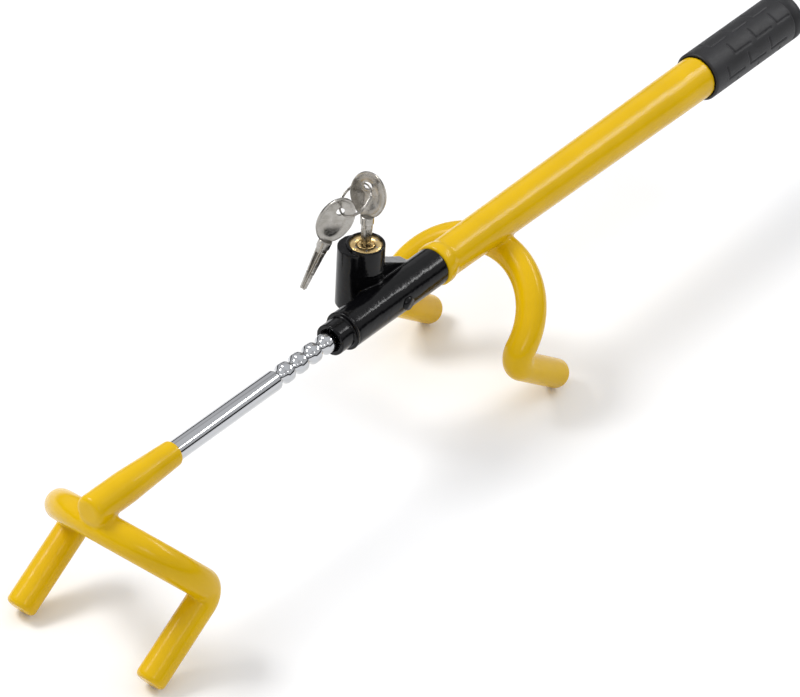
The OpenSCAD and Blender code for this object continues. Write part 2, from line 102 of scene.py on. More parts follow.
def smooth(piece, degrees=35):
    only(piece)
    bpy.ops.object.shade_smooth_by_angle(angle=math.radians(degrees))
    return piece


def outward(piece):
    """Merges doubles and turns every face outwards."""
    only(piece)
    bpy.ops.object.mode_set(mode="EDIT")
    bpy.ops.mesh.select_all(action="SELECT")
    bpy.ops.mesh.remove_doubles(threshold=1e-6)
    bpy.ops.mesh.normals_make_consistent(inside=False)
    bpy.ops.object.mode_set(mode="OBJECT")
    return piece


def copy_of(node, name):
    """A merged copy of a CAD node, to be worked on as a piece of its own."""
    piece = frame["nodes"][node].copy()
    piece.data = piece.data.copy()
    piece.name = name
    # The copy drops the marks that tie its node to the frame
    for key in list(piece.keys()):
        del piece[key]
    piece.parent = None
    piece.data.materials.clear()
    bpy.context.scene.collection.objects.link(piece)
    return outward(piece)


def joined(pieces, name):
    only(*pieces)
    bpy.ops.object.join()
    whole = bpy.context.view_layer.objects.active
    whole.name = name
    return whole


def turned(name, stations, centre=(0.0, 0.0), along="X", segments=96):
    """A turned piece: rings of (station, radius), each extruded from the last, with closed ends."""
    turn = {"X": (0, math.pi / 2, 0), "Z": (0, 0, 0)}[along]
    a, b = centre

    def place(s):
        return Vector((s, a, b)) if along == "X" else Vector((a, b, s))

    s0, r0 = stations[0]
    none_selected()
    bpy.ops.mesh.primitive_circle_add(vertices=segments, radius=r0, location=place(s0), rotation=turn)
    piece = bpy.context.object
    piece.name = name
    settle(piece)
    bpy.ops.object.mode_set(mode="EDIT")
    bpy.ops.mesh.select_all(action="SELECT")
    bpy.ops.mesh.edge_face_add()
    bpy.ops.mesh.select_all(action="SELECT")
    previous = (s0, r0)
    for s, r in stations[1:]:
        step = place(s) - place(previous[0])
        bpy.ops.mesh.extrude_region_move(TRANSFORM_OT_translate={"value": step})
        grow = r / previous[1]
        scale = (1, grow, grow) if along == "X" else (grow, grow, 1)
        bpy.ops.transform.resize(value=scale, center_override=place(s))
        previous = (s, r)
    bpy.ops.object.mode_set(mode="OBJECT")
    return outward(piece)


def cut(piece, tool):
    """Cuts the tool out of the piece and removes the tool."""
    finish_with(piece, "BOOLEAN", operation="DIFFERENCE", object=tool, solver="EXACT")
    bpy.data.objects.remove(tool)
    return piece


def dress(piece, material, body, slot, *nodes):
    """Gives a finished piece its material and body, and hides the CAD nodes that it stands for. The slot
    argument is not used.
    """
    piece.data.materials.clear()
    piece.data.materials.append(material)
    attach(piece, body)
    if nodes:
        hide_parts(*nodes)
    return piece


# ---------------------------------------------------------------- materials


class Surface:
    """A material on one Principled shader, with short ways to add nodes to it."""

    def __init__(self, name, color, roughness, metallic=0.0, **constants):
        self.material = bpy.data.materials.new(name)
        self.material.use_nodes = True
        self.tree = self.material.node_tree
        self.shader = self.tree.nodes["Principled BSDF"]
        self.shader.inputs["Base Color"].default_value = (*color, 1)
        self.shader.inputs["Roughness"].default_value = roughness
        self.shader.inputs["Metallic"].default_value = metallic
        for key, value in constants.items():
            self.shader.inputs[key.replace("_", " ")].default_value = value
        self.place = self.tree.nodes.new("ShaderNodeTexCoord").outputs["Object"]

    def link(self, source, target):
        self.tree.links.new(source, target)

    def group(self, tree, **values):
        node = self.tree.nodes.new("ShaderNodeGroup")
        node.node_tree = tree
        for key, value in values.items():
            node.inputs[key].default_value = value
        self.link(self.place, node.inputs["Place"])
        return node

    def to_shader(self, output, socket):
        self.link(output, self.shader.inputs[socket])

    def bump(self, height, strength, distance, after=None):
        node = self.tree.nodes.new("ShaderNodeBump")
        node.inputs["Strength"].default_value = strength
        node.inputs["Distance"].default_value = distance
        self.link(height, node.inputs["Height"])
        if after is not None:
            self.link(after, node.inputs["Normal"])
        self.to_shader(node.outputs["Normal"], "Normal")
        return node.outputs["Normal"]

    def mix(self, factor, first, second):
        node = self.tree.nodes.new("ShaderNodeMix")
        node.data_type = "RGBA"
        self.link(factor, node.inputs["Factor"])
        for socket, value in ((node.inputs["A"], first), (node.inputs["B"], second)):
            if isinstance(value, tuple):
                socket.default_value = (*value, 1)
            else:
                self.link(value, socket)
        return node.outputs["Result"]

    def spread(self, factor, low, high):
        """Maps a mask from 0..1 to low..high."""
        node = self.tree.nodes.new("ShaderNodeMapRange")
        node.inputs["To Min"].default_value = low
        node.inputs["To Max"].default_value = high
        self.link(factor, node.inputs["Value"])
        return node.outputs["Result"]


def new_group(name, inputs, outputs):
    tree = bpy.data.node_groups.new(name, "ShaderNodeTree")
    tree.interface.new_socket("Place", in_out="INPUT", socket_type="NodeSocketVector")
    for key, value in inputs.items():
        socket = tree.interface.new_socket(key, in_out="INPUT", socket_type="NodeSocketFloat")
        socket.default_value = value
    for key in outputs:
        tree.interface.new_socket(key, in_out="OUTPUT", socket_type="NodeSocketFloat")
    return tree, tree.nodes.new("NodeGroupInput"), tree.nodes.new("NodeGroupOutput")


def math_node(tree, operation, first, second=None):
    """A Math node on one or two outputs or numbers, and its own output."""
    node = tree.nodes.new("ShaderNodeMath")
    node.operation = operation
    for socket, value in zip(node.inputs, (first, second)):
        if isinstance(value, float):
            socket.default_value = value
        elif value is not None:
            tree.links.new(value, socket)
    return node.outputs[0]


def make_mottle():
    """Soft patches and a fine grain: outputs a wide mask and a fine height."""
    tree, source, result = new_group("mottle", {"Patch": 30.0, "Grain": 900.0}, ["Patches", "Fine"])
    for key, output, detail in (("Patch", "Patches", 3.0), ("Grain", "Fine", 2.0)):
        noise = tree.nodes.new("ShaderNodeTexNoise")
        noise.inputs["Detail"].default_value = detail
        tree.links.new(source.outputs["Place"], noise.inputs["Vector"])
        tree.links.new(source.outputs[key], noise.inputs["Scale"])
        ramp = tree.nodes.new("ShaderNodeMapRange")
        ramp.inputs["From Min"].default_value = 0.3
        ramp.inputs["From Max"].default_value = 0.7
        tree.links.new(noise.outputs["Fac"], ramp.inputs["Value"])
        tree.links.new(ramp.outputs["Result"], result.inputs[output])
    return tree


def make_scratches():
    """Thin hair scratches in two directions, as a mask."""
    tree, source, result = new_group("scratches", {"Scale": 120.0, "Thin": 0.03}, ["Lines"])
    masks = []
    for turn in (0.5, 2.1):
        mapping = tree.nodes.new("ShaderNodeMapping")
        mapping.inputs["Rotation"].default_value = (turn, turn * 0.7, turn)
        mapping.inputs["Scale"].default_value = (1.0, 0.06, 1.0)
        tree.links.new(source.outputs["Place"], mapping.inputs["Vector"])
        noise = tree.nodes.new("ShaderNodeTexNoise")
        noise.inputs["Detail"].default_value = 4.0
        tree.links.new(mapping.outputs["Vector"], noise.inputs["Vector"])
        tree.links.new(source.outputs["Scale"], noise.inputs["Scale"])
        offset = math_node(tree, "SUBTRACT", noise.outputs["Fac"], 0.5)
        size = math_node(tree, "ABSOLUTE", offset)
        masks.append(math_node(tree, "LESS_THAN", size, source.outputs["Thin"]))
    both = math_node(tree, "MAXIMUM", *masks)
    tree.links.new(both, result.inputs["Lines"])
    return tree


def make_turning():
    """Concentric tool marks about a vertical axis at (Centre X, Centre Y), as a height."""
    values = {"Centre X": 0.0, "Centre Y": 0.0, "Rings": 3000.0}
    tree, source, result = new_group("turning", values, ["Marks"])
    split = tree.nodes.new("ShaderNodeSeparateXYZ")
    tree.links.new(source.outputs["Place"], split.inputs[0])
    squares = []
    for axis, key in (("X", "Centre X"), ("Y", "Centre Y")):
        offset = math_node(tree, "SUBTRACT", split.outputs[axis], source.outputs[key])
        squares.append(math_node(tree, "MULTIPLY", offset, offset))
    radius = math_node(tree, "SQRT", math_node(tree, "ADD", *squares))
    phase = math_node(tree, "MULTIPLY", radius, source.outputs["Rings"])
    wave = tree.nodes.new("ShaderNodeTexNoise")
    wave.noise_dimensions = "1D"
    wave.inputs["Scale"].default_value = 1.0
    wave.inputs["Detail"].default_value = 2.0
    tree.links.new(phase, wave.inputs["W"])
    tree.links.new(wave.outputs["Fac"], result.inputs["Marks"])
    return tree


MOTTLE = make_mottle()
SCRATCHES = make_scratches()
TURNING = make_turning()


def yellow_vinyl():
    surface = Surface("yellow_vinyl", (0.70, 0.43, 0.0005), 0.2, Specular_IOR_Level=0.22)
    mottle = surface.group(MOTTLE, Patch=38.0, Grain=1400.0)
    color = surface.mix(mottle.outputs["Patches"], (0.66, 0.405, 0.0003), (0.72, 0.445, 0.0006))
    surface.to_shader(color, "Base Color")
    surface.to_shader(surface.spread(mottle.outputs["Fine"], 0.17, 0.26), "Roughness")
    slow = surface.bump(mottle.outputs["Patches"], 0.35, 0.0008)
    surface.bump(mottle.outputs["Fine"], 0.12, 0.00008, after=slow)
    return surface.material


def black_enamel():
    surface = Surface("black_enamel", (0.002, 0.002, 0.0025), 0.1, Specular_IOR_Level=0.24)
    mottle = surface.group(MOTTLE, Patch=160.0, Grain=1800.0)
    surface.to_shader(surface.spread(mottle.outputs["Fine"], 0.1, 0.22), "Roughness")
    slow = surface.bump(mottle.outputs["Patches"], 0.3, 0.0003)
    surface.bump(mottle.outputs["Fine"], 0.1, 0.00005, after=slow)
    return surface.material


def chrome_plate():
    surface = Surface("chrome_plate", (0.56, 0.57, 0.585), 0.06, metallic=1.0)
    mottle = surface.group(MOTTLE, Patch=90.0, Grain=2600.0)
    hair = surface.group(SCRATCHES, Scale=260.0, Thin=0.006)
    surface.to_shader(surface.spread(mottle.outputs["Patches"], 0.05, 0.1), "Roughness")
    slow = surface.bump(mottle.outputs["Fine"], 0.05, 0.00002)
    surface.bump(hair.outputs["Lines"], 0.04, 0.00001, after=slow)
    return surface.material


def nickel_plate():
    surface = Surface("nickel_plate", (0.71, 0.69, 0.65), 0.2, metallic=1.0)
    mottle = surface.group(MOTTLE, Patch=220.0, Grain=3200.0)
    hair = surface.group(SCRATCHES, Scale=300.0, Thin=0.012)
    color = surface.mix(mottle.outputs["Patches"], (0.30, 0.285, 0.255), (0.46, 0.44, 0.41))
    surface.to_shader(color, "Base Color")
    surface.to_shader(surface.spread(mottle.outputs["Patches"], 0.14, 0.28), "Roughness")
    slow = surface.bump(mottle.outputs["Fine"], 0.12, 0.00003)
    surface.bump(hair.outputs["Lines"], 0.3, 0.00003, after=slow)
    return surface.material


def turned_brass(name, color_low, color_high):
    surface = Surface(name, color_high, 0.28, metallic=1.0)
    mottle = surface.group(MOTTLE, Patch=260.0, Grain=3000.0)
    marks = surface.group(TURNING, Rings=9000.0)
    marks.inputs["Centre X"].default_value = LOCK_X
    marks.inputs["Centre Y"].default_value = LOCK_Y
    surface.to_shader(surface.mix(mottle.outputs["Patches"], color_low, color_high), "Base Color")
    surface.to_shader(surface.spread(mottle.outputs["Patches"], 0.2, 0.38), "Roughness")
    surface.bump(marks.outputs["Marks"], 0.35, 0.00006)
    return surface.material


def black_rubber():
    surface = Surface("black_rubber", (0.018, 0.018, 0.02), 0.5, Specular_IOR_Level=0.45)
    mottle = surface.group(MOTTLE, Patch=60.0, Grain=2200.0)
    color = surface.mix(mottle.outputs["Patches"], (0.007, 0.007, 0.008), (0.014, 0.014, 0.016))
    surface.to_shader(color, "Base Color")
    surface.to_shader(surface.spread(mottle.outputs["Fine"], 0.42, 0.6), "Roughness")
    surface.bump(mottle.outputs["Fine"], 0.35, 0.0001)
    return surface.material


def plain_steel(name, color, roughness):
    surface = Surface(name, color, roughness, metallic=1.0)
    mottle = surface.group(MOTTLE, Patch=150.0, Grain=1500.0)
    hair = surface.group(SCRATCHES, Scale=200.0, Thin=0.02)
    darker = tuple(channel * 0.75 for channel in color)
    surface.to_shader(surface.mix(mottle.outputs["Patches"], darker, color), "Base Color")
    rough = surface.spread(mottle.outputs["Fine"], roughness - 0.08, roughness + 0.1)
    surface.to_shader(rough, "Roughness")
    surface.bump(hair.outputs["Lines"], 0.3, 0.00004)
    return surface.material


VINYL = yellow_vinyl()
ENAMEL = black_enamel()
CHROME = chrome_plate()
NICKEL = nickel_plate()
BRASS = turned_brass("turned_brass", (0.66, 0.45, 0.18), (0.83, 0.62, 0.30))
BRONZE = turned_brass("oiled_bronze", (0.42, 0.26, 0.12), (0.58, 0.38, 0.19))
RUBBER = black_rubber()
STEEL = plain_steel("bare_steel", (0.45, 0.45, 0.47), 0.38)
HARD_STEEL = plain_steel("hardened_steel", (0.6, 0.6, 0.62), 0.25)

SLOT_MATERIALS = {"yellow_vinyl": VINYL, "chromed_steel": CHROME, "bare_steel": STEEL,
                  "pin_steel": HARD_STEEL, "guide_bronze": BRONZE, "black_rubber": RUBBER,
                  "black_plastic": RUBBER, "black_enamel": ENAMEL, "brass": BRASS, "nickel": NICKEL}


def finish_cad_nodes():
    """Gives every CAD node the finish of its slot."""
    for row in frame["record"]["subparts"]:
        node = frame["nodes"][row["node"]]
        node.data.materials.clear()
        node.data.materials.append(SLOT_MATERIALS[row["material_slot"]])
        node.modifiers.new("weld", "WELD").merge_threshold = 1e-6
        smooth(node, 30)


# ---------------------------------------------------------------- vinyl skins

VINYL_VOXEL = 0.75 * MM
VINYL_PASSES = 3
WELD_PASSES = 14
FRONT_WELD = Vector((FRONT_LOW.x + 17 * MM, 0, AXIS_Z - 6 * MM))
FRONT_WELD_REACH = 24 * MM
REAR_WELD = Vector(((REAR_LOW.x + REAR_HIGH.x) / 2 + 4 * MM, 0, AXIS_Z - 12 * MM))
REAR_WELD_REACH = 30 * MM
BORE_R = TUBE_R + 0.03 * MM
BORE_OVERRUN = 2 * MM


def melt(piece, centre, reach):
    """Softens the creases near a weld, as thick vinyl does, fading out over its reach."""
    group = piece.vertex_groups.new(name="weld")
    for vertex in piece.data.vertices:
        away = (vertex.co - centre).length / reach
        if away < 1:
            group.add([vertex.index], min(1.0, 2 * (1 - away)), "REPLACE")
    finish_with(piece, "SMOOTH", factor=0.5, iterations=WELD_PASSES, vertex_group="weld")
    piece.vertex_groups.clear()
    return piece


def front_skin():
    """One skin of vinyl over the rod's front end and the front hook."""
    parts = [copy_of(node, node + "_skin") for node in ("rod_sleeve", "front_hook_coating", "front_hook")]
    parts.append(turned("core", [(SLEEVE_LOW.x + 2 * MM, ROD_R), (SLEEVE_HIGH.x - 0.3 * MM, ROD_R)],
                        centre=(0, AXIS_Z)))
    skin = joined(parts, "front_vinyl")
    finish_with(skin, "REMESH", mode="VOXEL", voxel_size=VINYL_VOXEL)
    melt(skin, FRONT_WELD, FRONT_WELD_REACH)
    finish_with(skin, "SMOOTH", factor=0.5, iterations=VINYL_PASSES)
    smooth(skin, 180)
    return dress(skin, VINYL, "rod", "yellow_vinyl", "rod_sleeve", "front_hook_coating")


def rear_skin():
    """One skin of vinyl over the handle tube and the rear hook."""
    parts = [copy_of(node, node + "_skin") for node in ("tube_coating", "rear_hook_coating", "rear_hook")]
    parts.append(turned("core", [(COAT_LOW.x + 0.2 * MM, TUBE_R), (COAT_HIGH.x - 0.2 * MM, TUBE_R)],
                        centre=(0, AXIS_Z)))
    skin = joined(parts, "handle_vinyl")
    finish_with(skin, "REMESH", mode="VOXEL", voxel_size=VINYL_VOXEL)
    melt(skin, REAR_WELD, REAR_WELD_REACH)
    finish_with(skin, "SMOOTH", factor=0.5, iterations=VINYL_PASSES)
    bore = turned("bore", [(COAT_LOW.x - BORE_OVERRUN, BORE_R), (COAT_HIGH.x + BORE_OVERRUN, BORE_R)],
                  centre=(0, AXIS_Z))
    cut(skin, bore)
    smooth(skin, 50)
    return dress(skin, VINYL, "handle", "yellow_vinyl", "tube_coating", "rear_hook_coating")


# ---------------------------------------------------------------- rod

GROOVE_PITCH = 12 * MM
GROOVES_BEFORE_LOCK = 8
GROOVE_COUNT = 19
NECK_R = 3.9 * MM
SPIGOT_R = 4 * MM
# One side of a groove from its middle outwards, as (distance along the rod, radius)
GROOVE_RISE = [(1.3 * MM, NECK_R), (1.6 * MM, 4.05 * MM), (2.9 * MM, 5.4 * MM), (3.3 * MM, 5.78 * MM),
               (3.8 * MM, 6.05 * MM), (4.5 * MM, ROD_R)]
ROD_CHAMFER = 1.5 * MM
SPIGOT_CHAMFER = 1 * MM


def notched_rod():
    """The chromed rod: a turned bar whose ring grooves leave rounded beads between them."""
    bush_low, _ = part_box("guide_bush")
    profile = [(ROD_LOW.x, ROD_R - ROD_CHAMFER), (ROD_LOW.x + ROD_CHAMFER, ROD_R)]
    for index in range(GROOVE_COUNT):
        middle = LOCK_X + (index - GROOVES_BEFORE_LOCK) * GROOVE_PITCH
        profile += [(middle - s, r) for s, r in reversed(GROOVE_RISE)]
        profile += [(middle + s, r) for s, r in GROOVE_RISE]
    profile += [(bush_low.x - 0.1 * MM, ROD_R), (bush_low.x, SPIGOT_R),
                (ROD_HIGH.x - SPIGOT_CHAMFER, SPIGOT_R), (ROD_HIGH.x, SPIGOT_R - SPIGOT_CHAMFER)]
    rod = turned("chrome_rod", profile, centre=(0, AXIS_Z))
    smooth(rod, 32)
    return dress(rod, CHROME, "rod", "chromed_steel", "locking_rod")


# ---------------------------------------------------------------- grip

GROOVE_WIDTH = 1.1 * MM
GROOVE_DEPTH = 0.65 * MM
GROOVE_ROWS = 8
CELL = 22.5 * MM
CELLS = 3
PATTERN_START = GRIP_LOW.x + 13 * MM
PATTERN_END = GRIP_HIGH.x - 14 * MM
LONG_LEG = 16 * MM
SHORT_LEG = 8.2 * MM
SHORT_LEG_SLANT = 0.12
BODY_RINGS = 170
BODY_END = GRIP_HIGH.x - 12 * MM
MOUTH_R = (COAT_HIGH.z - COAT_LOW.z) / 2 + 0.25 * MM
MOUTH_DEPTH = 6 * MM
MOUTH_ROUND = 1.2 * MM
BAND_DEPTH = 0.9 * MM
DOME = 4 * MM
DOME_WIDTH = 5 * MM
DOME_STEPS = 8


def groove_depth(along, turn):
    """Depth of the moulded pattern: staggered L-shaped grooves, a long leg and a short one."""
    row_angle = 2 * math.pi / GROOVE_ROWS
    depth = 0.0
    nearest = math.floor(turn / row_angle)
    for row in (nearest - 1, nearest, nearest + 1):
        line = row * row_angle
        start = PATTERN_START + (CELL / 2 if row % 2 else 0)
        for cell in range(CELLS):
            x0 = start + cell * CELL
            x1 = min(x0 + LONG_LEG, PATTERN_END)
            across = (turn - line) * GRIP_R
            long_gap = math.hypot(max(x0 - along, 0, along - x1), across)
            slant = x0 - SHORT_LEG_SLANT * max(-across, 0)
            short_gap = math.hypot(along - slant, max(across, 0, -across - SHORT_LEG))
            gap = min(long_gap, short_gap)
            if gap < GROOVE_WIDTH:
                depth = max(depth, 0.5 + 0.5 * math.cos(math.pi * gap / GROOVE_WIDTH))
    return depth * GROOVE_DEPTH


def rubber_grip():
    """The grip: a thick rubber tube with a rolled mouth, a ring groove and a moulded pattern."""
    x0, x1 = GRIP_LOW.x, GRIP_HIGH.x
    stations = [(x0 + MOUTH_DEPTH, MOUTH_R - 1 * MM), (x0 + MOUTH_DEPTH, MOUTH_R), (x0 + 0.5 * MM, MOUTH_R),
                (x0, MOUTH_R + 0.4 * MM), (x0, GRIP_R - MOUTH_ROUND), (x0 + 0.35 * MM, GRIP_R - 0.35 * MM),
                (x0 + MOUTH_ROUND, GRIP_R)]
    body = BODY_END - x0 - MOUTH_ROUND
    stations += [(x0 + MOUTH_ROUND + body * i / BODY_RINGS, GRIP_R) for i in range(1, BODY_RINGS + 1)]
    stations += [(x1 - 11.4 * MM, GRIP_R - BAND_DEPTH), (x1 - 10.2 * MM, GRIP_R - BAND_DEPTH),
                 (x1 - 9.6 * MM, GRIP_R), (x1 - DOME, GRIP_R)]
    for i in range(1, DOME_STEPS + 1):
        turn = math.pi / 2 * i / DOME_STEPS
        stations.append((x1 - DOME + DOME * math.sin(turn),
                         GRIP_R - DOME_WIDTH + DOME_WIDTH * math.cos(turn)))
    stations.append((x1, 2 * MM))
    grip = turned("rubber_grip", stations, centre=(0, AXIS_Z), segments=208)
    for vertex in grip.data.vertices:
        height = Vector((0, vertex.co.y, vertex.co.z - AXIS_Z))
        if height.length > GRIP_R - 0.05 * MM and x0 + 2 * MM < vertex.co.x < BODY_END:
            turn = math.atan2(height.z, height.y) % (2 * math.pi)
            depth = groove_depth(vertex.co.x, turn)
            vertex.co -= height.normalized() * depth
    smooth(grip, 60)
    return dress(grip, RUBBER, "handle", "black_rubber", "grip")


# ---------------------------------------------------------------- lock housing

CUP_R = (SHELL_HIGH.x - SHELL_LOW.x) / 2 + 1.5 * MM
CUP_LOW = AXIS_Z + 18 * MM
COLLAR_X = HOUSING_LOW.x + 11.5 * MM
HOUSING_R = 11.9 * MM
NOSE_R = 9.8 * MM
PAINT_VOXEL = 0.5 * MM


def ring_bead(radius, wire, place, along):
    turn = (0, math.pi / 2, 0) if along == "X" else (0, 0, 0)
    none_selected()
    bpy.ops.mesh.primitive_torus_add(major_radius=radius, minor_radius=wire, major_segments=96,
                                     minor_segments=20, location=place, rotation=turn)
    return settle(bpy.context.object)


def lock_body():
    """The cast housing under thick paint: every edge softened, with beads at the collar and the cup."""
    body = copy_of("lock_housing", "housing_body")
    beads = [ring_bead(HOUSING_R - 0.4 * MM, 0.75 * MM, (COLLAR_X + 0.6 * MM, 0, AXIS_Z), "X"),
             ring_bead(NOSE_R - 0.7 * MM, 0.7 * MM, (HOUSING_LOW.x + 0.7 * MM, 0, AXIS_Z), "X"),
             ring_bead(CUP_R - 0.5 * MM, 0.7 * MM, (LOCK_X, LOCK_Y, CUP_LOW + 0.6 * MM), "Z")]
    body = joined([body] + beads, "housing_shell")
    finish_with(body, "REMESH", mode="VOXEL", voxel_size=PAINT_VOXEL)
    finish_with(body, "SMOOTH", factor=0.5, iterations=5)
    smooth(body, 180)
    return dress(body, ENAMEL, "handle", "black_enamel", "lock_housing")


# ---------------------------------------------------------------- keys and ring

KEY_TURN = math.radians(17.5)
BOW_RISE = 34.7 * MM
BOW_W = 22 * MM
BOW_H = 31.6 * MM
BOW_T = 1.5 * MM
HOLE = Vector((0, 0.5 * MM, 6.5 * MM))
HOLE_R = 2.6 * MM
RING_R = 11 * MM
RING_CHORD = 15.6 * MM
CHORD_DIP = math.radians(33)
RING_DROOP = math.radians(25)
SPARE_ON_RING = math.radians(62)
SPARE_FOLD = math.radians(30)
BLADE_LENGTH = 16 * MM
BLADE_W = 7 * MM
BLADE_T = 1.4 * MM
BLADE_POINT = 0.55
KEY_VOXEL = 0.16 * MM
STEM_LENGTH = 7 * MM
SHOULDER = -15.3 * MM
BOW_RIM = 1.1 * MM
RIM_SLOPE = 0.5 * MM
RIM_RISE = 0.22 * MM
PANEL_MARGIN = 3.6 * MM
PANEL_SLOPE = 0.45 * MM
PANEL_RISE = 0.16 * MM
BOW_NOTCH_SIZE = (4 * BOW_T, 3 * MM, 1.5 * MM)
BOW_NOTCH_PLACE = (0, -BOW_W / 2 + 1.4 * MM, -10.6 * MM)
BIT_R = 1.2 * MM
# Each notch in a blade's edge: height above the tip, side of the blade, depth
BITTING = ((5.2 * MM, 1, 0.9 * MM), (9.4 * MM, 1, 1.3 * MM), (14.2 * MM, 1, 0.7 * MM),
           (4.4 * MM, -1, 1.2 * MM), (8.6 * MM, -1, 0.6 * MM), (12.8 * MM, -1, 1.1 * MM))
WIRE_R = 0.5 * MM
TURN_OFFSET = 0.42 * MM
GUARD_PINS = 6
GUARD_PIN_REACH = 7.2 * MM
GUARD_PIN_R = 0.6 * MM


def shift(x, y, z):
    return Matrix.Translation((x, y, z))


def spin(angle, axis):
    return Matrix.Rotation(angle, 4, axis)


BOW_PLACE = shift(LOCK_X, LOCK_Y, FACE_Z + BOW_RISE) @ spin(KEY_TURN, "Z")
RING_PLACE = (BOW_PLACE @ Matrix.Translation(HOLE) @ spin(-CHORD_DIP, "X") @ shift(0, RING_CHORD / 2, 0)
              @ spin(-RING_DROOP, "Y") @ shift(-math.sqrt(RING_R ** 2 - RING_CHORD ** 2 / 4), 0, 0))
SPARE_PLACE = (RING_PLACE @ spin(-SPARE_ON_RING, "Z") @ shift(-RING_R, 0, 0)
               @ spin(-math.pi / 2 - SPARE_FOLD, "Y") @ spin(math.pi / 2, "Z")
               @ shift(0, -HOLE.y, HOLE.z) @ Matrix.Diagonal((1, 1, -1, 1)))


def put(piece, place):
    """Moves a piece built round its own centre to its place."""
    piece.matrix_world = place
    settle(piece)
    return outward(piece)


def select_flats(bow):
    """Selects the bow's two flat faces, in edit mode."""
    bpy.ops.mesh.select_all(action="DESELECT")
    bpy.ops.object.mode_set(mode="OBJECT")
    for face in bow.data.polygons:
        face.select = abs(face.normal.x) > 0.9 and face.area > 1e-5
    bpy.ops.object.mode_set(mode="EDIT")


def key_bow(name, place, body, node):
    """An oval bow with a raised rim, a raised panel, a ring hole and a small notch in its edge."""
    none_selected()
    bpy.ops.mesh.primitive_cylinder_add(vertices=96, radius=BOW_W / 2, depth=BOW_T,
                                        rotation=(0, math.pi / 2, 0))
    bow = bpy.context.object
    bow.name = name
    bow.scale = (BOW_H / BOW_W, 1, 1)
    settle(bow)
    bpy.ops.object.mode_set(mode="EDIT")
    bpy.ops.mesh.select_mode(type="FACE")
    select_flats(bow)
    bpy.ops.mesh.inset(thickness=BOW_RIM, use_individual=True)
    bpy.ops.mesh.inset(thickness=RIM_SLOPE, depth=-RIM_RISE, use_individual=True)
    bpy.ops.mesh.inset(thickness=PANEL_MARGIN, use_individual=True)
    bpy.ops.mesh.inset(thickness=PANEL_SLOPE, depth=PANEL_RISE, use_individual=True)
    bpy.ops.object.mode_set(mode="OBJECT")
    none_selected()
    bpy.ops.mesh.primitive_cylinder_add(vertices=48, radius=HOLE_R, depth=4 * BOW_T,
                                        location=HOLE, rotation=(0, math.pi / 2, 0))
    cut(bow, settle(bpy.context.object))
    none_selected()
    bpy.ops.mesh.primitive_cube_add(size=1, location=BOW_NOTCH_PLACE)
    bpy.context.object.scale = BOW_NOTCH_SIZE
    cut(bow, settle(bpy.context.object))
    finish_with(bow, "BEVEL", width=0.16 * MM, segments=2, limit_method="ANGLE",
                angle_limit=math.radians(40))
    put(bow, place)
    smooth(bow, 40)
    return dress(bow, NICKEL, body, "nickel", node)


def key_blade(name, place, body, node):
    """A cross-shaped blade with its notches, under a turned collar."""
    collar = turned(name, [(SHOULDER - 4.6 * MM, 3.5 * MM), (SHOULDER - 4.4 * MM, 4.1 * MM),
                           (SHOULDER + 0.2 * MM, 4.1 * MM), (SHOULDER + 0.7 * MM, 3.6 * MM)],
                    along="Z", segments=48)
    stem = turned(name + "_stem", [(SHOULDER - 7.8 * MM, 3.4 * MM), (SHOULDER - 4.4 * MM, 3.5 * MM)],
                  along="Z", segments=48)
    tip = -BOW_RISE - BLADE_LENGTH
    top = SHOULDER - STEM_LENGTH
    wings = []
    for turn in (0, math.pi / 2):
        none_selected()
        bpy.ops.mesh.primitive_cube_add(size=1, location=(0, 0, (tip + top) / 2))
        wing = bpy.context.object
        wing.scale = (BLADE_W, BLADE_T, top - tip)
        settle(wing)
        bpy.ops.object.mode_set(mode="EDIT")
        bpy.ops.mesh.select_mode(type="VERT")
        bpy.ops.mesh.select_all(action="DESELECT")
        bpy.ops.object.mode_set(mode="OBJECT")
        for vertex in wing.data.vertices:
            vertex.select = vertex.co.z < tip + 0.1 * MM
        bpy.ops.object.mode_set(mode="EDIT")
        bpy.ops.transform.resize(value=(BLADE_POINT, 1, 1), center_override=(0, 0, tip))
        bpy.ops.object.mode_set(mode="OBJECT")
        for level, side, depth in BITTING:
            none_selected()
            place_of_bit = (side * (BLADE_W / 2 + BIT_R - depth), 0, tip + level)
            bpy.ops.mesh.primitive_cylinder_add(vertices=20, radius=BIT_R, depth=4 * MM,
                                                location=place_of_bit, rotation=(math.pi / 2, 0, 0))
            cut(wing, settle(bpy.context.object))
        wing.rotation_euler = (0, 0, turn)
        settle(wing)
        wings.append(wing)
    blade = joined([collar, stem] + wings, name)
    finish_with(blade, "REMESH", mode="VOXEL", voxel_size=KEY_VOXEL)
    finish_with(blade, "SMOOTH", factor=0.5, iterations=2)
    put(blade, place)
    smooth(blade, 60)
    return dress(blade, NICKEL, body, "nickel", node)


def split_ring():
    """The split ring: two turns of wire side by side."""
    turns = []
    for side in (-1, 1):
        none_selected()
        bpy.ops.mesh.primitive_torus_add(major_radius=RING_R, minor_radius=WIRE_R, major_segments=128,
                                         minor_segments=16, location=(0, 0, side * TURN_OFFSET))
        turns.append(settle(bpy.context.object))
    ring = joined(turns, "split_ring")
    put(ring, RING_PLACE)
    smooth(ring, 60)
    return dress(ring, NICKEL, "ring", "nickel", "key_ring")


def keys():
    key_bow("key_handle", BOW_PLACE, "key", "key_bow")
    key_blade("key_shank", BOW_PLACE, "key", "key_blade")
    key_bow("spare_handle", SPARE_PLACE, "spare_key", "spare_key_bow")
    key_blade("spare_shank", SPARE_PLACE, "spare_key", "spare_key_blade")
    split_ring()


# ---------------------------------------------------------------- brass face


